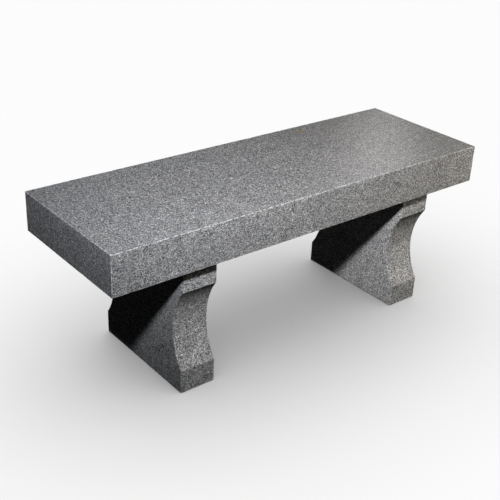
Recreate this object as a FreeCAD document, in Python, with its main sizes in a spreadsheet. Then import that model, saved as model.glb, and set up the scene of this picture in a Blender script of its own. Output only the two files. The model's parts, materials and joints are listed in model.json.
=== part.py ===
"""Backless granite bench: one thick seat slab set on two waisted pedestal supports.

Millimetres, +Z up. X runs along the seat, -Y is the front, and the origin is on the ground
under the middle of the seat. Each support is pinned to the seat by two steel dowels in epoxy,
and bedded on four setting cushions in setting compound.
"""
import FreeCAD, Part
import math
import os

import Sketcher

Vector = FreeCAD.Vector

# Driving dimensions: alias, value and what it measures.
DIMENSIONS = [
    ("seat_length", 1219.2, "seat slab along X"),
    ("seat_width", 406.4, "seat slab along Y"),
    ("seat_thickness", 108.0, "seat slab along Z"),
    ("support_width", 355.6, "support along Y, at its head and foot"),
    ("support_height", 355.6, "support along Z"),
    ("support_thickness", 103.0, "support along X"),
    ("block_height", 65.4, "straight head and foot of a support, above and below its waist"),
    ("waist_depth", 37.0, "how far the concave ends cut in at mid height"),
    ("left_overhang", 204.0, "seat end to the outer face of the left support"),
    ("right_overhang", 154.0, "seat end to the outer face of the right support"),
    ("arris", 2.5, "eased edge of every stone"),
    ("joint_thickness", 1.6, "setting joint between support and seat"),
    ("bed_margin", 8.0, "setting compound held back from the support's edges"),
    ("cushion_size", 25.4, "side of a square setting cushion"),
    ("cushion_spacing_x", 54.0, "cushion centre to centre, along X"),
    ("cushion_spacing_y", 272.0, "cushion centre to centre, along Y"),
    ("dowel_diameter", 12.7, "steel dowel"),
    ("dowel_length", 101.6, "steel dowel"),
    ("dowel_chamfer", 1.0, "both ends of a dowel"),
    ("dowel_spacing", 203.2, "dowel centre to centre, along Y"),
    ("dowel_socket_diameter", 15.9, "drilled sockets for the dowels"),
    ("head_socket_depth", 50.8, "dowel sockets in a support's head"),
    ("seat_socket_depth", 54.0, "dowel sockets in the seat's underside"),
    ("anchor_socket_diameter", 19.0, "sockets in a support's foot, loose on pins from a footing"),
    ("anchor_socket_depth", 50.8, "sockets in a support's foot"),
]
SIZE = {alias: value for alias, value, _ in DIMENSIONS}

# Formulas that several pieces share.
SUPPORT_X = {
    "left": "-sizes.seat_length / 2 + sizes.left_overhang + sizes.support_thickness / 2",
    "right": "sizes.seat_length / 2 - sizes.right_overhang - sizes.support_thickness / 2",
}
SEAT_Z = "sizes.support_height + sizes.joint_thickness"
DOWEL_Y = {"front": "-sizes.dowel_spacing / 2", "back": "sizes.dowel_spacing / 2"}
CUSHION_PLACES = [
    (sign_x + "sizes.cushion_spacing_x / 2", sign_y + "sizes.cushion_spacing_y / 2")
    for sign_y in ("-", "")
    for sign_x in ("-", "")
]
WAIST_RADIUS = (
    "(pow(sizes.support_height - 2 * sizes.block_height; 2) / 4 + pow(sizes.waist_depth; 2))"
    " / (2 * sizes.waist_depth)"
)
VOLUME_TOLERANCE = 1.0
LENGTH_TOLERANCE = 1e-4
SKETCH_ORIGIN = (-1, 1)


# ---------------------------------------------------------------- document helpers

def make_sheet(doc):
    """Put the driving dimensions in a spreadsheet, one row each, with an alias on the value."""
    sheet = doc.addObject("Spreadsheet::Sheet", "sizes")
    for row, (alias, value, meaning) in enumerate(DIMENSIONS, start=1):
        sheet.set(f"A{row}", alias)
        sheet.set(f"B{row}", str(value))
        sheet.set(f"C{row}", meaning)
        sheet.setAlias(f"B{row}", alias)
    doc.recompute()
    return sheet


def place(thing, x="0", y="0", z="0"):
    """Bind a sub-part's position to formulas."""
    for axis, formula in zip("xyz", (x, y, z)):
        thing.setExpression(".Placement.Base." + axis, formula)


def new_body(doc, label, **position):
    """An empty body with its own label and place."""
    body = doc.addObject("PartDesign::Body", label)
    body.Label = label
    place(body, **position)
    return body


def new_sketch(body, role, name, lift=None):
    """A sketch on one of the body's own origin planes, raised along its normal by a formula."""
    plane = next(item for item in body.Origin.OriginFeatures if item.Role == role)
    sketch = body.newObject("Sketcher::SketchObject", name)
    sketch.AttachmentSupport = [(plane, "")]
    sketch.MapMode = "FlatFace"
    if lift:
        sketch.setExpression(".AttachmentOffset.Base.z", lift)
    return sketch


def drive(sketch, name, formula, *constraint):
    """Add a named dimension to a sketch and bind it to a formula."""
    index = sketch.addConstraint(Sketcher.Constraint(*constraint))
    sketch.renameConstraint(index, name)
    sketch.setExpression("Constraints." + name, formula)


def add_rectangle(sketch, name, x_formula, y_formula, wide_formula, high_formula):
    """A closed rectangle about a centre point, with every size and place a formula."""
    corners = [Vector(-1, -1, 0), Vector(1, -1, 0), Vector(1, 1, 0), Vector(-1, 1, 0)]
    lines = [
        sketch.addGeometry(Part.LineSegment(start, end))
        for start, end in zip(corners, corners[1:] + corners[:1])
    ]
    bottom, right, top, left = lines
    for line, following in zip(lines, lines[1:] + lines[:1]):
        sketch.addConstraint(Sketcher.Constraint("Coincident", line, 2, following, 1))
    for line in (bottom, top):
        sketch.addConstraint(Sketcher.Constraint("Horizontal", line))
    for line in (right, left):
        sketch.addConstraint(Sketcher.Constraint("Vertical", line))
    drive(sketch, name + "_wide", wide_formula, "DistanceX", bottom, 1, bottom, 2, 2.0)
    drive(sketch, name + "_high", high_formula, "DistanceY", right, 1, right, 2, 2.0)
    low_x = f"{x_formula} - ({wide_formula}) / 2"
    low_y = f"{y_formula} - ({high_formula}) / 2"
    drive(sketch, name + "_x", low_x, "DistanceX", *SKETCH_ORIGIN, bottom, 1, -1.0)
    drive(sketch, name + "_y", low_y, "DistanceY", *SKETCH_ORIGIN, bottom, 1, -1.0)


def add_circle(sketch, name, x_formula, y_formula, diameter_formula):
    """A circle with its centre and diameter bound to formulas."""
    circle = sketch.addGeometry(Part.Circle(Vector(1, 1, 0), Vector(0, 0, 1), 5))
    drive(sketch, name + "_diameter", diameter_formula, "Diameter", circle, 10.0)
    drive(sketch, name + "_x", x_formula, "DistanceX", *SKETCH_ORIGIN, circle, 3, 1.0)
    drive(sketch, name + "_y", y_formula, "DistanceY", *SKETCH_ORIGIN, circle, 3, 1.0)


def add_pad(body, sketch, name, length_formula, symmetric=False):
    """Raise a sketch into a solid, to one side of its plane or to both."""
    pad = body.newObject("PartDesign::Pad", name)
    pad.Profile = sketch
    pad.SideType = "Symmetric" if symmetric else "One side"
    pad.setExpression("Length", length_formula)
    body.Document.recompute()
    return pad


def add_sockets(body, sketch, name, diameter_alias, depth_alias, upward):
    """Drill a sketch's circles into the stone and compare the volume that goes."""
    before = body.Shape.Volume
    pocket = body.newObject("PartDesign::Pocket", name)
    pocket.Profile = sketch
    pocket.Reversed = upward
    pocket.setExpression("Length", "sizes." + depth_alias)
    body.Document.recompute()
    count = sketch.GeometryCount
    drilled = count * math.pi * (SIZE[diameter_alias] / 2) ** 2 * SIZE[depth_alias]
    if abs(before - body.Shape.Volume - drilled) > VOLUME_TOLERANCE:
        raise RuntimeError(f"{body.Label}.{name} doesn't remove {count} sockets")
    return pocket


def ease_edges(body, base, name, size_alias, wanted):
    """Chamfer the edges of a feature that the test named wanted accepts."""
    names = [
        f"Edge{number}"
        for number, edge in enumerate(base.Shape.Edges, start=1)
        if wanted(edge)
    ]
    chamfer = body.newObject("PartDesign::Chamfer", name)
    chamfer.Base = (base, names)
    chamfer.setExpression("Size", "sizes." + size_alias)
    body.Document.recompute()
    return chamfer


# ---------------------------------------------------------------- stones

def make_seat(doc):
    """The seat slab: eased all round, with two blind dowel sockets over each support."""
    body = new_body(doc, "seat_slab", z=SEAT_Z)
    outline = new_sketch(body, "XY_Plane", "seat_outline")
    add_rectangle(outline, "slab", "0", "0", "sizes.seat_length", "sizes.seat_width")
    slab = add_pad(body, outline, "seat_pad", "sizes.seat_thickness")
    ease_edges(body, slab, "seat_arris", "arris", lambda edge: True)
    sockets = new_sketch(body, "XY_Plane", "seat_socket_places")
    diameter = "dowel_socket_diameter"
    for side, x_formula in SUPPORT_X.items():
        for end, y_formula in DOWEL_Y.items():
            add_circle(sockets, f"{side}_{end}", x_formula, y_formula, "sizes." + diameter)
    add_sockets(body, sockets, "seat_sockets", diameter, "seat_socket_depth", upward=True)
    return body


def add_support_profile(sketch):
    """The support seen from its broad side: square head and foot with a concave waist between.

    Sketch x is the bench's Y and sketch y is its Z.
    """
    half = SIZE["support_width"] / 2
    high = SIZE["support_height"]
    block = SIZE["block_height"]
    depth = SIZE["waist_depth"]
    half_chord = high / 2 - block
    radius = (half_chord ** 2 + depth ** 2) / (2 * depth)
    centre_y = half - depth + radius
    sweep = math.asin(half_chord / radius)
    normal = Vector(0, 0, 1)

    def line(start, end):
        return sketch.addGeometry(Part.LineSegment(Vector(*start, 0), Vector(*end, 0)))

    def arc(sign, first, last):
        circle = Part.Circle(Vector(sign * centre_y, high / 2, 0), normal, radius)
        return sketch.addGeometry(Part.ArcOfCircle(circle, first, last))

    foot = line((-half, 0), (half, 0))
    back_low = line((half, 0), (half, block))
    back_arc = arc(1, math.pi - sweep, math.pi + sweep)
    back_high = line((half, high - block), (half, high))
    head = line((half, high), (-half, high))
    front_high = line((-half, high), (-half, high - block))
    front_arc = arc(-1, -sweep, sweep)
    front_low = line((-half, block), (-half, 0))

    # A counterclockwise arc starts at its upper end on the back and at its lower end on the front.
    joins = [
        (foot, 2, back_low, 1),
        (back_low, 2, back_arc, 2),
        (back_arc, 1, back_high, 1),
        (back_high, 2, head, 1),
        (head, 2, front_high, 1),
        (front_high, 2, front_arc, 2),
        (front_arc, 1, front_low, 1),
        (front_low, 2, foot, 1),
    ]
    for join in joins:
        sketch.addConstraint(Sketcher.Constraint("Coincident", *join))
    for level in (foot, head):
        sketch.addConstraint(Sketcher.Constraint("Horizontal", level))
    for upright in (back_low, back_high, front_low, front_high):
        sketch.addConstraint(Sketcher.Constraint("Vertical", upright))
    for low, high_line in (((back_low, 2), (back_high, 1)), ((front_low, 1), (front_high, 2))):
        sketch.addConstraint(Sketcher.Constraint("Vertical", *low, *high_line))
    for upright in (back_high, front_low, front_high):
        sketch.addConstraint(Sketcher.Constraint("Equal", back_low, upright))
    sketch.addConstraint(Sketcher.Constraint("Equal", back_arc, front_arc))
    sketch.addConstraint(Sketcher.Constraint("Symmetric", foot, 1, foot, 2, *SKETCH_ORIGIN))
    drive(sketch, "width", "sizes.support_width", "DistanceX", foot, 1, foot, 2, 2 * half)
    drive(sketch, "block", "sizes.block_height", "DistanceY", back_low, 1, back_low, 2, block)
    drive(sketch, "height", "sizes.support_height", "DistanceY", foot, 2, head, 1, high)
    drive(sketch, "waist_radius", WAIST_RADIUS, "Radius", back_arc, radius)


def is_support_arris(edge):
    """True for every edge of a support except the four where a block meets the waist."""
    start, end = (vertex.Point for vertex in edge.Vertexes)
    along_x = abs(start.x - end.x) > LENGTH_TOLERANCE
    at_foot = abs(start.z) < LENGTH_TOLERANCE
    at_head = abs(start.z - SIZE["support_height"]) < LENGTH_TOLERANCE
    return at_foot or at_head or not along_x


def make_support(doc, side):
    """One pedestal support with two dowel sockets in its head and two anchor sockets in its foot."""
    body = new_body(doc, side + "_support", x=SUPPORT_X[side])
    profile = new_sketch(body, "YZ_Plane", side + "_support_profile")
    add_support_profile(profile)
    slab = add_pad(body, profile, side + "_support_pad", "sizes.support_thickness", symmetric=True)
    ease_edges(body, slab, side + "_support_arris", "arris", is_support_arris)
    for level, lift, diameter, depth, upward in (
        ("head", "sizes.support_height", "dowel_socket_diameter", "head_socket_depth", False),
        ("anchor", None, "anchor_socket_diameter", "anchor_socket_depth", True),
    ):
        sockets = new_sketch(body, "XY_Plane", f"{side}_{level}_socket_places", lift)
        for end, y_formula in DOWEL_Y.items():
            add_circle(sockets, end, "0", y_formula, "sizes." + diameter)
        add_sockets(body, sockets, f"{side}_{level}_sockets", diameter, depth, upward)
    return body


# ---------------------------------------------------------------- pins and bedding

def make_dowel(doc, side, end):
    """A round steel dowel that stands on the bottom of its socket in the support's head."""
    body = new_body(
        doc,
        f"{side}_{end}_dowel",
        x=SUPPORT_X[side],
        y=DOWEL_Y[end],
        z="sizes.support_height - sizes.head_socket_depth",
    )
    section = new_sketch(body, "XY_Plane", body.Label + "_section")
    add_circle(section, "dowel", "0", "0", "sizes.dowel_diameter")
    rod = add_pad(body, section, body.Label + "_rod", "sizes.dowel_length")
    ease_edges(
        body,
        rod,
        body.Label + "_chamfer",
        "dowel_chamfer",
        lambda edge: len(edge.Vertexes) == 1,
    )
    return body


def make_epoxy(doc, side, end, dowel):
    """Epoxy that fills both sockets and the joint around a dowel, and closes over its top."""
    label = f"{side}_{end}_epoxy"
    fill = doc.addObject("Part::Cylinder", label + "_fill")
    fill.setExpression("Radius", "sizes.dowel_socket_diameter / 2")
    fill.setExpression(
        "Height",
        "sizes.head_socket_depth + sizes.joint_thickness + sizes.seat_socket_depth",
    )
    place(
        fill,
        x=SUPPORT_X[side],
        y=DOWEL_Y[end],
        z="sizes.support_height - sizes.head_socket_depth",
    )
    epoxy = doc.addObject("Part::Cut", label)
    epoxy.Label = label
    epoxy.Base = fill
    epoxy.Tool = dowel
    return epoxy


def make_cushion(doc, side, number, x_formula, y_formula):
    """A square setting cushion that carries the seat at the joint's thickness."""
    label = f"{side}_setting_cushion_{number}"
    cushion = doc.addObject("Part::Box", label)
    cushion.Label = label
    cushion.setExpression("Length", "sizes.cushion_size")
    cushion.setExpression("Width", "sizes.cushion_size")
    cushion.setExpression("Height", "sizes.joint_thickness")
    place(
        cushion,
        x=f"{SUPPORT_X[side]} + ({x_formula}) - sizes.cushion_size / 2",
        y=f"({y_formula}) - sizes.cushion_size / 2",
        z="sizes.support_height",
    )
    return cushion


def make_bed(doc, side):
    """The layer of setting compound, open where the dowels and the cushions pass through it."""
    body = new_body(doc, side + "_setting_bed", x=SUPPORT_X[side], z="sizes.support_height")
    outline = new_sketch(body, "XY_Plane", side + "_bed_outline")
    add_rectangle(
        outline,
        "bed",
        "0",
        "0",
        "sizes.support_thickness - 2 * sizes.bed_margin",
        "sizes.support_width - 2 * sizes.bed_margin",
    )
    for end, y_formula in DOWEL_Y.items():
        add_circle(outline, end + "_dowel", "0", y_formula, "sizes.dowel_socket_diameter")
    for number, (x_formula, y_formula) in enumerate(CUSHION_PLACES, start=1):
        size = "sizes.cushion_size"
        add_rectangle(outline, f"cushion_{number}", x_formula, y_formula, size, size)
    add_pad(body, outline, side + "_bed_pad", "sizes.joint_thickness")
    return body


# ---------------------------------------------------------------- assembly

def make_bench(doc):
    """Every sub-part of the bench, each a separate solid."""
    pieces = [make_seat(doc)]
    for side in SUPPORT_X:
        pieces.append(make_support(doc, side))
        pieces.append(make_bed(doc, side))
        for number, (x_formula, y_formula) in enumerate(CUSHION_PLACES, start=1):
            pieces.append(make_cushion(doc, side, number, x_formula, y_formula))
        for end in DOWEL_Y:
            dowel = make_dowel(doc, side, end)
            pieces.append(dowel)
            pieces.append(make_epoxy(doc, side, end, dowel))
    return pieces


def check(doc, pieces):
    """Stop on a failed feature or a shape that isn't one valid solid."""
    for item in doc.Objects:
        if "Invalid" in item.State or "Error" in item.State:
            raise RuntimeError(f"{item.Label} failed to compute: {item.State}")
    for piece in pieces:
        shape = piece.Shape
        if shape.isNull() or not shape.isValid() or len(shape.Solids) != 1:
            raise RuntimeError(f"{piece.Label} isn't one valid solid")


def main():
    doc = FreeCAD.newDocument("backless_bench")
    make_sheet(doc)
    pieces = make_bench(doc)
    doc.recompute()
    check(doc, pieces)
    os.makedirs("parts", exist_ok=True)
    for piece in pieces:
        piece.Shape.exportStep(f"parts/{piece.Label}.step")
        box = piece.Shape.BoundBox
        print(
            f"{piece.Label}: {piece.Shape.Volume / 1000:.2f} cm3,"
            f" X {box.XMin:.1f}..{box.XMax:.1f}, Y {box.YMin:.1f}..{box.YMax:.1f},"
            f" Z {box.ZMin:.1f}..{box.ZMax:.1f}"
        )


main()
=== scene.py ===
"""Looks of the backless granite bench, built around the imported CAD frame. Metres, +Z up."""
import json
import math

import bmesh
import bpy
import numpy as np
from mathutils import Matrix, Vector, noise


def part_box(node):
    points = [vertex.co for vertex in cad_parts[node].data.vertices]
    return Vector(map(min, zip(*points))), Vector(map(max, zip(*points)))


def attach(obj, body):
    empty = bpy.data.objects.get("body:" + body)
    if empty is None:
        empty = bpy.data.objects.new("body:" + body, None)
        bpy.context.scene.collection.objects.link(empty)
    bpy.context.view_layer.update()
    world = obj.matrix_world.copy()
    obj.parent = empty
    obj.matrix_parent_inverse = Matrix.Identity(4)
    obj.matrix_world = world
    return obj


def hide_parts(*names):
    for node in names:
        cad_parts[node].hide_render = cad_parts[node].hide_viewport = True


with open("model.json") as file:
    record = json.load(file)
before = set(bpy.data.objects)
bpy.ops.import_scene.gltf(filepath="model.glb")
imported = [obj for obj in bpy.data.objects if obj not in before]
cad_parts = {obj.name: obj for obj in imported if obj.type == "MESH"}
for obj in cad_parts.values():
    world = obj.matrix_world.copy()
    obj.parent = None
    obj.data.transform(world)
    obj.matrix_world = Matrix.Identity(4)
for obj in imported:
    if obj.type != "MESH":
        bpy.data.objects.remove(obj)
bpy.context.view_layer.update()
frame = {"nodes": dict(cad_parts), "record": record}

MM = 0.001

# Camera: where it stands, how it is turned, and its focal length and sensor in millimetres.
CAMERA_PLACE = Vector((-1.4657, -1.6922, 1.3706))
CAMERA_YAW = math.radians(39.84)
CAMERA_PITCH = math.radians(27.37)
CAMERA_ROLL = math.radians(2.79)
CAMERA_LENS = 64.74
CAMERA_SENSOR = 36.0

# Lights: place, aim, size, power, colour and spread in degrees. The matt ones leave no highlight.
LIGHTS = {
    "key": ((-1.09, -0.84, 1.25), (0.04, 0.0, 1.20), 0.10, 21.6, (0.95, 0.97, 1.00), 113),
    "fill": ((-0.40, -1.04, 1.52), (0.51, 0.0, 0.01), 0.10, 6.4, (1.00, 0.99, 0.95), 135),
    "side": ((1.39, -0.51, 0.63), (0.0, 0.0, 0.35), 0.30, 12.0, (1.00, 0.94, 0.80), 180),
    "sheen": ((1.92, 1.33, 1.32), (0.42, 0.0, 0.465), 0.30, 1.31, (1.00, 0.96, 0.96), 180),
    "back": ((0.56, 3.00, 0.30), (0.0, 0.0, 0.30), 0.60, 105.0, (0.97, 0.98, 1.00), 180),
    "back_high": ((0.80, 2.20, 2.10), (0.0, 0.1, 0.20), 0.60, 110.0, (0.97, 0.98, 1.00), 180),
    "right": ((3.00, 0.50, 0.30), (0.0, 0.0, 0.30), 0.60, 24.0, (0.88, 0.94, 1.00), 180),
    "left": ((-2.20, 2.00, 0.40), (0.0, 0.0, 0.30), 0.60, 1.0, (1.00, 1.00, 1.00), 180),
}
MATT_LIGHTS = ("side", "back", "back_high", "right", "left")

# The lights that fall only on the pieces with this word in their name.
LIT_ALONE = {"back": "seat", "back_high": "support"}

# Floor: its grey, its roughness, how far it reaches, and the strength and width of the light that
# makes it nearly white. Then the brightness of the surround behind it.
FLOOR_GREY = 0.80
FLOOR_ROUGHNESS = 0.9
FLOOR_REACH = 40.0
FLOOR_LIGHT = 3.82
FLOOR_LIGHT_ANGLE = math.radians(120)
SURROUND = 0.975

# Arrises: their width, and an exponent between a bevel's 1 and an arc's 2.
ARRIS = 1.5 * MM
ARRIS_UNDER_SEAT = 0.7 * MM
ARRIS_EXPONENT = 1.45

# Grid of a stone: its step on the faces, and its lines at an edge (in arrises) and at a bend (in
# knuckles).
GRID_STEP = 4.2 * MM
EDGE_LINES = (0.0, 0.3, 0.65, 1.0, 1.5, 2.3)
BEND_LINES = (-1.0, -0.5, 0.0, 0.5, 1.0)

# Outline of a support: its straight blocks, its waist, and how far a knuckle between them is rounded.
BLOCK_HEIGHT = 65.4 * MM
WAIST_DEPTH = 37.0 * MM
KNUCKLE = 1.6 * MM
KNUCKLE_SAMPLES = 9

# Undulation of the faces: its mean depth, and the length of its waves.
UNDULATION = 0.10 * MM
WAVE_SIZE = 70.0 * MM

# Chips and bruises along the arrises: their reach and depth, and the noise sizes that shape them.
CHIP_REACH = 7.0 * MM
CHIP_DEPTH = 2.0 * MM
CHIP_SIZE = 17.0 * MM
CHIP_ROUGHNESS = 6.0 * MM
CHIP_SPACING = 160.0 * MM
CHIP_THRESHOLD = 0.45
CHIP_GAIN = 2.2
BRUISE_SHARE = 0.25
# The whitened band along the arrises, its reach and the stretch of its noise: partly wear, partly a
# painted highlight.
WEAR_AND_HIGHLIGHT_REACH = 2.4 * MM
RUB_AND_HIGHLIGHT_STRETCH = 250.0 * MM

# Sockets: the anchor sockets' depth, how far their cutters stand out below, and the facets round one.
ANCHOR_DEPTH = 50.8 * MM
OVERCUT = 10.0 * MM
SOCKET_FACETS = 48

# Edges sharper than this stay crisp in the shading.
CRISP_ANGLE = math.radians(40)

# Setting cushions: grid lines each way, corner radius, and the ribs moulded on both faces.
CUSHION_LINES = 43
CUSHION_CORNER = 3.0 * MM
RIB_PITCH = 3.6 * MM
RIB_DEPTH = 0.35 * MM

# The rust stain near the back of the seat: its place from the seat's corner, and its size inverted.
STAIN_FROM_CORNER = Vector((-0.352, -0.037, 0.0))
STAIN_SQUEEZE = (38.0, 60.0, 0.0)

# Granite: how many features of each kind there are to a metre.
FLECK_SCALE = 850.0
SWIRL_SCALE = 380.0
MOTTLE_SCALE = 26.0
BREAK_SCALE = 110.0
GRIT_SCALE = 900.0

# Granite: how far the swirl bends its grains, the height of its relief, and the colour of its whitened
# arrises, partly wear and partly a painted highlight.
SWIRL_REACH = 2.6 * MM
RELIEF = 0.2 * MM
BRUISED_AND_HIGHLIGHT = (0.80, 0.80, 0.81, 1)

# Granite: its minerals from dark mica through quartz to white feldspar, by their share of the grains.
MINERALS = [
    (0.00, (0.028, 0.030, 0.036)),
    (0.15, (0.062, 0.065, 0.073)),
    (0.24, (0.184, 0.190, 0.206)),
    (0.50, (0.243, 0.247, 0.255)),
    (0.74, (0.336, 0.331, 0.324)),
    (0.92, (0.468, 0.462, 0.456)),
    (1.00, (0.670, 0.665, 0.660)),
]
FLECKS = [(0.0, 0.20), (0.16, 0.60), (0.5, 1.0), (0.88, 1.30), (1.0, 1.9)]
TINTS = [(0.0, (0.96, 0.99, 1.05)), (0.5, (1.0, 1.0, 1.0)), (1.0, (1.04, 1.0, 0.95))]

# Painted light: a tint from cool at the left end of the bench to warm at the right, for the colour of
# the light falling there, and where the ends are.
COOL_LIGHT_END = (0.988, 1.000, 1.013)
WARM_LIGHT_END = (1.024, 1.000, 0.978)
LIGHT_TINT_REACH = 0.6

# Hidden pieces: mottles to a metre, and the height of their relief.
HIDDEN_MOTTLE_SCALE = 700.0
HIDDEN_RELIEF = 0.2 * MM


# ---------------------------------------------------------------- stone meshes

def graded_lines(size, bends=()):
    """Grid lines from -size/2 to size/2: close together at both ends and at bends, even between them."""
    half = size / 2
    ends = np.array(EDGE_LINES) * ARRIS
    inner = half - ends[-1]
    count = max(2, round(2 * inner / GRID_STEP))
    middle = np.linspace(-inner, inner, count + 1)
    for bend in bends:
        middle = middle[np.abs(middle - bend) > 1.5 * KNUCKLE]
    fine = [bend + shift * KNUCKLE for bend in bends for shift in BEND_LINES]
    return np.sort(np.concatenate([-half + ends[:-1], middle, fine, half - ends[:-1]]))


def lattice_skin(axes):
    """The outside of a box lattice: one (n, 3) array of points and one (m, 4) array of quads."""
    counts = [len(lines) for lines in axes]
    quads = []
    for axis in range(3):
        across, up = (axis + 1) % 3, (axis + 2) % 3
        i, j = np.meshgrid(np.arange(counts[across] - 1), np.arange(counts[up] - 1), indexing="ij")
        for end in (0, counts[axis] - 1):
            corners = []
            for step_i, step_j in ((0, 0), (1, 0), (1, 1), (0, 1)):
                index = [None, None, None]
                index[axis] = np.full(i.shape, end)
                index[across] = i + step_i
                index[up] = j + step_j
                corners.append((index[0] * counts[1] + index[1]) * counts[2] + index[2])
            face = np.stack(corners, axis=-1).reshape(-1, 4)
            quads.append(face if end else face[:, ::-1])
    used, flat = np.unique(np.concatenate(quads), return_inverse=True)
    low = used // counts[2]
    points = np.stack(
        [axes[0][low // counts[1]], axes[1][low % counts[1]], axes[2][used % counts[2]]],
        axis=-1,
    )
    return points, flat.reshape(-1, 4)


def eased(points, half, arris):
    """Bring a box's skin in at its edges: a rounded arris whose profile lies between arc and bevel."""
    core = np.clip(points, -(half - arris), half - arris)
    out = points - core
    reach = np.sum(np.abs(out) ** ARRIS_EXPONENT, axis=1, keepdims=True) ** (1 / ARRIS_EXPONENT)
    return core + out * (arris / np.maximum(reach, 1e-9))


def scalar_noise(points, size, seed):
    """Smooth noise of about -1 to 1 with features of the given size."""
    shift = Vector((seed * 7.31, seed * 3.17, seed * 5.73))
    return np.array([noise.noise(Vector(p) / size + shift) for p in points])


def worn(points, normals, edge, arris, seed):
    """Undulate the faces a little and chip the arrises, always inward, the wider ones more."""
    depth = UNDULATION * (1 + scalar_noise(points, WAVE_SIZE, seed))
    near = np.nonzero(edge < CHIP_REACH)[0]
    closeness = (1 - edge[near] / CHIP_REACH) ** 2
    coarse = scalar_noise(points[near], CHIP_SIZE, seed + 1)
    fine = scalar_noise(points[near], CHIP_ROUGHNESS, seed + 2)
    rare = scalar_noise(points[near], CHIP_SPACING, seed + 3)
    bruise = BRUISE_SHARE * (1 + fine) * arris[near, 0] * closeness
    strength = CHIP_GAIN * np.clip(coarse + 0.45 * fine + 0.30 * rare - CHIP_THRESHOLD, 0, None)
    chips = CHIP_DEPTH * closeness * strength * arris[near, 0] / ARRIS
    depth[near] += bruise + chips
    # The whitening mask of the arrises: partly real wear and chips, partly a painted highlight of the
    # light catching them.
    wear = np.zeros(len(points))
    rubbed_and_highlight = np.clip(0.85 + 0.6 * scalar_noise(points[near], RUB_AND_HIGHLIGHT_STRETCH, seed + 35), 0.35, 1)
    wear[near] = rubbed_and_highlight * (np.clip(1 - edge[near] / WEAR_AND_HIGHLIGHT_REACH, 0, 1) + 1.5 * chips / CHIP_DEPTH)
    return points - normals * depth[:, None], np.clip(wear, 0, 1)


def mesh_piece(name, points, quads, wear):
    """A mesh object with the wear and painted highlight of its edges as a point attribute."""
    mesh = bpy.data.meshes.new(name)
    mesh.from_pydata(points.tolist(), [], quads.tolist())
    attribute = mesh.attributes.new("wear", "FLOAT", "POINT")
    attribute.data.foreach_set("value", wear.astype(np.float32))
    mesh.update()
    piece = bpy.data.objects.new(name, mesh)
    bpy.context.scene.collection.objects.link(piece)
    return piece


def waist_half_width(height, size):
    """Half the width of a support at a height: straight blocks with a circular arc between them."""
    half, middle = size[1] / 2, size[2] / 2
    half_chord = middle - BLOCK_HEIGHT
    radius = (half_chord ** 2 + WAIST_DEPTH ** 2) / (2 * WAIST_DEPTH)
    from_middle = np.abs(height - middle)
    arc = half - WAIST_DEPTH + radius - np.sqrt(radius ** 2 - np.minimum(from_middle, half_chord) ** 2)
    return np.where(from_middle < half_chord, arc, half)


def softened_width(height, size):
    """The same half width with its corners rounded off by averaging over a short height."""
    shifts = np.linspace(-KNUCKLE, KNUCKLE, KNUCKLE_SAMPLES)
    return np.mean([waist_half_width(height + shift, size) for shift in shifts], axis=0)


def shade_smooth(piece):
    """Smooth shading everywhere but at the crisp edges."""
    piece.data.polygons.foreach_set("use_smooth", [True] * len(piece.data.polygons))
    piece.data.set_sharp_from_angle(angle=CRISP_ANGLE)


def drill(piece, sockets):
    """Cut round sockets, each (x, y, low, high, radius), out of a stone."""
    form = bmesh.new()
    for x, y, low, high, radius in sockets:
        bmesh.ops.create_cone(
            form,
            cap_ends=True,
            segments=SOCKET_FACETS,
            radius1=radius,
            radius2=radius,
            depth=high - low,
            matrix=Matrix.Translation((x, y, (low + high) / 2)),
        )
    cutter_mesh = bpy.data.meshes.new(piece.name + "_cutter")
    form.to_mesh(cutter_mesh)
    form.free()
    cutter = bpy.data.objects.new(piece.name + "_cutter", cutter_mesh)
    bpy.context.scene.collection.objects.link(cutter)
    cut = piece.modifiers.new("sockets", "BOOLEAN")
    cut.operation = "DIFFERENCE"
    cut.solver = "EXACT"
    cut.object = cutter
    evaluated = piece.evaluated_get(bpy.context.evaluated_depsgraph_get())
    result = bpy.data.meshes.new_from_object(evaluated)
    piece.modifiers.clear()
    old = piece.data
    piece.data = result
    result.name = piece.name
    bpy.data.meshes.remove(old)
    bpy.data.objects.remove(cutter)
    bpy.data.meshes.remove(cutter_mesh)


def stone(name, node, seed, sockets, waisted=False, under_arris=ARRIS):
    """A stone in place of its CAD node: eased, undulating and chipped, inside the node's own box."""
    low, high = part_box(node)
    size = np.array(high - low)
    centre = np.array(low + high) / 2
    half = size / 2
    knuckle = half[2] - BLOCK_HEIGHT
    bends = (-knuckle, knuckle) if waisted else ()
    axes = [graded_lines(size[0]), graded_lines(size[1]), graded_lines(size[2], bends)]
    points, quads = lattice_skin(axes)
    edge = np.sort(half - np.abs(points), axis=1)[:, 1]
    arris = np.where(points[:, 2:] > 0, ARRIS, under_arris)
    points = eased(points, half, arris)
    core = np.clip(points, -(half - arris), half - arris)
    normals = points - core
    normals /= np.linalg.norm(normals, axis=1, keepdims=True)
    points, wear = worn(points, normals, edge, arris, seed)
    if waisted:
        points[:, 1] *= softened_width(points[:, 2] + half[2], size) / half[1]
    piece = mesh_piece(name, points + centre, quads, wear)
    drill(piece, sockets)
    shade_smooth(piece)
    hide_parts(node)
    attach(piece, "root")
    return piece


def dowel_sockets(word):
    """The sockets that the epoxy of the nodes with this word in their name fills."""
    sockets = []
    for node in frame["nodes"]:
        if word in node and node.endswith("_epoxy"):
            low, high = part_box(node)
            centre = (low + high) / 2
            sockets.append((centre.x, centre.y, low.z, high.z, (high.x - low.x) / 2))
    return sockets


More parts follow.
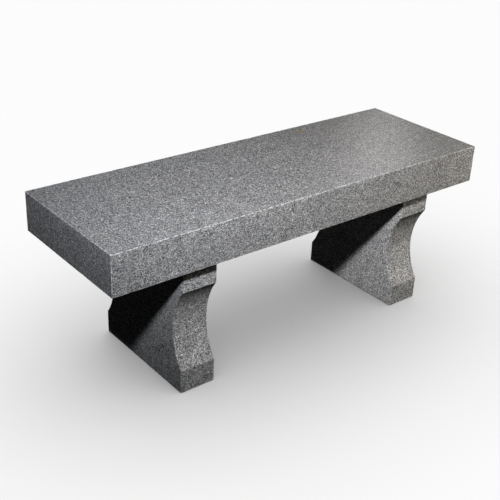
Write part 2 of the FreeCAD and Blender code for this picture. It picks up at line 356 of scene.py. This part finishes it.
def anchor_sockets(node):
    """The sockets in the foot of a support, where the record's bolt pattern puts them."""
    low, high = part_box(node)
    mount = next(item for item in frame["record"]["mounts"] if item["name"] == "anchor_sockets")
    middle, dims = mount["pos_m"], mount["dims"]
    sockets = []
    for side_x in (-1, 1):
        for side_y in (-1, 1):
            x = middle[0] + side_x * dims["spacing_x_mm"] * MM / 2
            y = middle[1] + side_y * dims["spacing_y_mm"] * MM / 2
            if low.x < x < high.x:
                radius = dims["hole_r_mm"] * MM
                sockets.append((x, y, low.z - OVERCUT, low.z + ANCHOR_DEPTH, radius))
    return sockets


def cushion(node):
    """A moulded setting cushion in place of its CAD node: round corners and ribs on both faces."""
    low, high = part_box(node)
    half = np.array(high - low) / 2
    points, quads = lattice_skin([
        np.linspace(-half[0], half[0], CUSHION_LINES),
        np.linspace(-half[1], half[1], CUSHION_LINES),
        np.linspace(-half[2], half[2], 4),
    ])
    inset = half[:2] - CUSHION_CORNER
    core = np.clip(points[:, :2], -inset, inset)
    out = points[:, :2] - core
    square = np.max(np.abs(out), axis=1)
    round_off = square / np.maximum(np.hypot(out[:, 0], out[:, 1]), 1e-9)
    from_rim = np.min(half[:2] - np.abs(points[:, :2]), axis=1)
    points[:, :2] = core + out * np.where(square > 0, round_off, 1)[:, None]
    valley = 0.5 - 0.5 * np.cos(2 * np.pi * points[:, 0] / RIB_PITCH)
    depth = RIB_DEPTH * valley * np.clip(from_rim / CUSHION_CORNER, 0, 1)
    points[:, 2] -= np.sign(points[:, 2]) * depth * (np.abs(points[:, 2]) > 0.9 * half[2])
    centre = np.array(low + high) / 2
    piece = mesh_piece(node + "_moulding", points + centre, quads, np.zeros(len(points)))
    shade_smooth(piece)
    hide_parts(node)
    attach(piece, "root")
    return piece


# ---------------------------------------------------------------- materials

class Tree:
    """Short calls for building one material's node tree."""

    def __init__(self, name):
        self.material = bpy.data.materials.new(name)
        self.material.use_nodes = True
        self.nodes = self.material.node_tree.nodes
        self.links = self.material.node_tree.links
        self.shader = self.nodes["Principled BSDF"]

    def add(self, kind, inputs=None, **settings):
        """A node with its settings and its sockets, each a value or another node's output."""
        node = self.nodes.new("ShaderNode" + kind)
        for key, value in settings.items():
            setattr(node, key, value)
        for key, value in (inputs or {}).items():
            self.feed(node.inputs[key], value)
        return node

    def feed(self, socket, value):
        """Link an output to a socket, or set the socket to a value."""
        if isinstance(value, bpy.types.NodeSocket):
            self.links.new(value, socket)
        else:
            socket.default_value = value

    def maths(self, operation, first, second=0.0, third=0.0, clamp=False):
        """One Math node."""
        sockets = {0: first, 1: second, 2: third}
        return self.add("Math", sockets, operation=operation, use_clamp=clamp).outputs[0]

    def vector(self, operation, first, second):
        """One Vector Math node."""
        return self.add("VectorMath", {0: first, 1: second}, operation=operation).outputs[0]

    def ramp(self, fac, stops):
        """A colour ramp from (position, grey or colour) stops."""
        node = self.add("ValToRGB", {"Fac": fac})
        elements = node.color_ramp.elements
        while len(elements) < len(stops):
            elements.new(0.5)
        for element, (position, colour) in zip(elements, stops):
            element.position = position
            element.color = (*colour, 1) if isinstance(colour, tuple) else (colour, colour, colour, 1)
        return node.outputs["Color"]

    def mix(self, fac, first, second, blend="MIX"):
        """Mix two colours."""
        node = self.add("Mix", {"Factor": fac}, data_type="RGBA", blend_type=blend)
        self.feed(node.inputs[6], first)
        self.feed(node.inputs[7], second)
        return node.outputs[2]


def rusted(tree, place, colour, spot):
    """A small streak of rust left by an iron mineral, at a spot (x, y, z) of the stone."""
    from_spot = tree.vector("SUBTRACT", place, spot)
    waver = tree.add("TexNoise", {"Vector": place, "Scale": 120.0, "Detail": 2.0}).outputs["Color"]
    waver = tree.vector("MULTIPLY", tree.vector("SUBTRACT", waver, (0.5, 0.5, 0.5)), (0.02, 0.02, 0.0))
    bent = tree.vector("MULTIPLY", tree.vector("ADD", from_spot, waver), STAIN_SQUEEZE)
    distance = tree.add("VectorMath", {0: bent}, operation="LENGTH").outputs["Value"]
    strength = tree.ramp(distance, [(0.0, 1.0), (0.35, 0.75), (0.6, 0.15), (1.0, 0.0)])
    return tree.mix(strength, colour, tree.mix(1.0, colour, (1.30, 0.95, 0.50, 1), blend="MULTIPLY"))


def granite(name, offset, grain_scale, lightness, gloss, whitening_and_highlight, stain=None):
    """Fine-grained grey granite: feldspar, quartz and biotite grains a couple of millimetres across."""
    tree = Tree(name)
    local = tree.add("TexCoord").outputs["Object"]
    place = tree.vector("ADD", local, offset)
    swirl = tree.add("TexNoise", {"Vector": place, "Scale": SWIRL_SCALE, "Detail": 2.0}).outputs["Color"]
    swirl = tree.vector("SUBTRACT", swirl, (0.5, 0.5, 0.5))
    swirl = tree.vector("MULTIPLY", swirl, (SWIRL_REACH, SWIRL_REACH, SWIRL_REACH))
    warped = tree.vector("ADD", place, swirl)

    grains = tree.add("TexVoronoi", {"Vector": warped, "Scale": grain_scale}, feature="F1")
    lot = tree.add("SeparateColor", {"Color": grains.outputs["Color"]}).outputs
    mineral = tree.ramp(lot[0], MINERALS)
    flecks = tree.add("TexVoronoi", {"Vector": warped, "Scale": FLECK_SCALE}, feature="F1")
    fleck_lot = tree.add("SeparateColor", {"Color": flecks.outputs["Color"]}).outputs
    fleck = tree.ramp(fleck_lot[1], FLECKS)
    colour = tree.mix(1.0, mineral, fleck, blend="MULTIPLY")
    colour = tree.mix(1.0, colour, tree.ramp(lot[1], TINTS), blend="MULTIPLY")

    mottle = tree.add("TexNoise", {"Vector": place, "Scale": MOTTLE_SCALE, "Detail": 3.0}).outputs["Fac"]
    mottle = tree.ramp(mottle, [(0.3, 0.92 * lightness), (0.7, 1.08 * lightness)])
    colour = tree.mix(1.0, colour, mottle, blend="MULTIPLY")

    # Painted highlight: the arrises are whitened, partly for real bruising and partly for the light that
    # catches them.
    wear = tree.add("Attribute", attribute_name="wear").outputs["Fac"]
    breaks = tree.add("TexNoise", {"Vector": place, "Scale": BREAK_SCALE, "Detail": 3.0}).outputs["Fac"]
    breaks = tree.add("MapRange", {"Value": breaks, "From Min": 0.42, "From Max": 0.60}).outputs[0]
    bruised_and_highlight = tree.maths("MULTIPLY", wear, tree.maths("MULTIPLY", breaks, whitening_and_highlight))
    colour = tree.mix(bruised_and_highlight, colour, BRUISED_AND_HIGHLIGHT)

    # Painted light: a cool tint at the left end and a warm one at the right, for the colour of the light
    # there.
    along = tree.add("SeparateXYZ", {"Vector": local}).outputs["X"]
    ends = {"Value": along, "From Min": -LIGHT_TINT_REACH, "From Max": LIGHT_TINT_REACH}
    along = tree.add("MapRange", ends).outputs[0]
    painted_light_tint = tree.ramp(along, [(0.0, COOL_LIGHT_END), (1.0, WARM_LIGHT_END)])
    colour = tree.mix(1.0, colour, painted_light_tint, blend="MULTIPLY")
    if stain is not None:
        colour = rusted(tree, local, colour, stain)
    tree.feed(tree.shader.inputs["Base Color"], colour)

    rough = tree.maths("MULTIPLY_ADD", lot[1], 0.14, gloss)
    rough = tree.maths("MULTIPLY_ADD", wear, 0.20, rough, clamp=True)
    tree.feed(tree.shader.inputs["Roughness"], rough)

    grit = tree.add("TexNoise", {"Vector": place, "Scale": GRIT_SCALE, "Detail": 2.0}).outputs["Fac"]
    relief = tree.maths("ADD", tree.maths("MULTIPLY", lot[2], 0.6), tree.maths("MULTIPLY", grit, 0.5))
    bump = tree.add("Bump", {"Height": relief, "Strength": 0.25, "Distance": RELIEF})
    tree.feed(tree.shader.inputs["Normal"], bump.outputs["Normal"])
    return tree.material


def plain(name, colour, roughness, metallic=0.0, contrast=0.08):
    """A hidden piece's finish: one colour with a fine mottle in its shade, gloss and relief."""
    tree = Tree(name)
    place = tree.add("TexCoord").outputs["Object"]
    noise_inputs = {"Vector": place, "Scale": HIDDEN_MOTTLE_SCALE, "Detail": 4.0}
    mottle = tree.add("TexNoise", noise_inputs).outputs["Fac"]
    shade = tree.ramp(
        mottle,
        [
            (0.25, tuple(part * (1 - contrast) for part in colour)),
            (0.75, tuple(min(1.0, part * (1 + contrast)) for part in colour)),
        ],
    )
    tree.feed(tree.shader.inputs["Base Color"], shade)
    tree.feed(tree.shader.inputs["Roughness"], tree.maths("MULTIPLY_ADD", mottle, 0.2, roughness - 0.1))
    tree.shader.inputs["Metallic"].default_value = metallic
    bump = tree.add("Bump", {"Height": mottle, "Strength": 0.4, "Distance": HIDDEN_RELIEF})
    tree.feed(tree.shader.inputs["Normal"], bump.outputs["Normal"])
    return tree.material


def dress(piece, material):
    """Give a piece one material in every slot."""
    piece.data.materials.clear()
    piece.data.materials.append(material)


# ---------------------------------------------------------------- pieces

seat = stone("seat_slab_stone", "seat_slab", 3, dowel_sockets("_"), under_arris=ARRIS_UNDER_SEAT)
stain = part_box("seat_slab")[1] + STAIN_FROM_CORNER
seat_granite = granite(
    "seat_granite",
    offset=(0.0, 0.0, 0.0),
    grain_scale=480.0,
    lightness=1.0,
    gloss=0.27,
    whitening_and_highlight=0.90,
    stain=stain,
)
dress(seat, seat_granite)
for side, seed, offset in (("left", 11, (1.3, 0.4, 0.7)), ("right", 23, (2.9, 1.7, 0.2))):
    node = side + "_support"
    sockets = dowel_sockets(side + "_") + anchor_sockets(node)
    support = stone(node + "_stone", node, seed, sockets, waisted=True)
    support_granite = granite(
        side + "_granite",
        offset=offset,
        grain_scale=430.0,
        lightness=1.23,
        gloss=0.34,
        whitening_and_highlight=0.35,
    )
    dress(support, support_granite)

HIDDEN = {
    "_dowel": plain("dowel_steel", (0.60, 0.60, 0.61), 0.35, metallic=1.0),
    "_epoxy": plain("epoxy_amber", (0.60, 0.52, 0.36), 0.30),
    "_setting_cushion": plain("cushion_plastic", (0.74, 0.74, 0.72), 0.45),
    "_setting_bed": plain("setting_compound", (0.30, 0.30, 0.29), 0.70, contrast=0.2),
}
for node, piece in frame["nodes"].items():
    for word, material in HIDDEN.items():
        if word in node:
            visible = cushion(node) if word == "_setting_cushion" else piece
            dress(visible, material)


# ---------------------------------------------------------------- stage, light and camera

def make_floor():
    """A plain pale floor, well past the edges of the view, that throws no light back on the bench."""
    mesh = bpy.data.meshes.new("floor")
    corners = [
        (side_x * FLOOR_REACH, side_y * FLOOR_REACH, 0)
        for side_x, side_y in ((-1, -1), (1, -1), (1, 1), (-1, 1))
    ]
    mesh.from_pydata(corners, [], [(0, 1, 2, 3)])
    floor = bpy.data.objects.new("floor", mesh)
    bpy.context.scene.collection.objects.link(floor)
    tree = Tree("floor_paper")
    tree.shader.inputs["Base Color"].default_value = (FLOOR_GREY, FLOOR_GREY, FLOOR_GREY, 1)
    tree.shader.inputs["Roughness"].default_value = FLOOR_ROUGHNESS
    tree.shader.inputs["Specular IOR Level"].default_value = 0.0
    dress(floor, tree.material)
    floor.visible_diffuse = False
    floor.visible_glossy = False
    return floor


def light_only(light, pieces):
    """Let a light fall on these pieces alone."""
    lit = bpy.data.collections.new("lit_by_" + light.name)
    for piece in pieces:
        lit.objects.link(piece)
    light.light_linking.receiver_collection = lit


def make_floor_light(floor):
    """One broad even light for the floor, so that the bench stands in a soft shadow."""
    data = bpy.data.lights.new("floor_light", "SUN")
    data.energy = FLOOR_LIGHT
    data.angle = FLOOR_LIGHT_ANGLE
    light = bpy.data.objects.new("floor_light", data)
    bpy.context.scene.collection.objects.link(light)
    light_only(light, [floor])


def make_soft_box(name, pieces):
    """A square soft box that stands at its place and faces its aim."""
    place, aim, size, power, colour, spread = LIGHTS[name]
    data = bpy.data.lights.new(name, "AREA")
    data.size = size
    data.energy = power
    data.color = colour
    data.spread = math.radians(spread)
    light = bpy.data.objects.new(name, data)
    bpy.context.scene.collection.objects.link(light)
    light.location = place
    light.rotation_mode = "QUATERNION"
    light.rotation_quaternion = (Vector(aim) - Vector(place)).to_track_quat("-Z", "Y")
    light.visible_glossy = name not in MATT_LIGHTS
    light_only(light, pieces)


def make_surround():
    """An even pale surround that the camera sees and that lights nothing."""
    world = bpy.data.worlds.new("surround")
    bpy.context.scene.world = world
    world.use_nodes = True
    world.node_tree.nodes["Background"].inputs["Color"].default_value = (1, 1, 1, 1)
    world.node_tree.nodes["Background"].inputs["Strength"].default_value = SURROUND
    world.cycles_visibility.diffuse = False
    world.cycles_visibility.glossy = False


def make_camera():
    """The camera, turned by its yaw, pitch and roll."""
    ahead = Vector((
        math.sin(CAMERA_YAW) * math.cos(CAMERA_PITCH),
        math.cos(CAMERA_YAW) * math.cos(CAMERA_PITCH),
        -math.sin(CAMERA_PITCH),
    ))
    right = Vector((math.cos(CAMERA_YAW), -math.sin(CAMERA_YAW), 0))
    up = right.cross(ahead)
    right_rolled = math.cos(CAMERA_ROLL) * right + math.sin(CAMERA_ROLL) * up
    up_rolled = math.cos(CAMERA_ROLL) * up - math.sin(CAMERA_ROLL) * right
    data = bpy.data.cameras.new("camera")
    data.lens = CAMERA_LENS
    data.sensor_width = CAMERA_SENSOR
    camera = bpy.data.objects.new("camera", data)
    bpy.context.scene.collection.objects.link(camera)
    turn = Matrix((right_rolled, up_rolled, -ahead)).transposed()
    camera.matrix_world = Matrix.Translation(CAMERA_PLACE) @ turn.to_4x4()
    bpy.context.scene.camera = camera


bench_pieces = [piece for piece in bpy.context.scene.objects if piece.type == "MESH"]
for name in LIGHTS:
    word = LIT_ALONE.get(name, "")
    make_soft_box(name, [piece for piece in bench_pieces if word in piece.name])
make_floor_light(make_floor())
make_surround()
make_camera()
bpy.context.scene.view_settings.view_transform = "Standard"
bpy.context.scene.cycles.denoising_prefilter = "NONE"
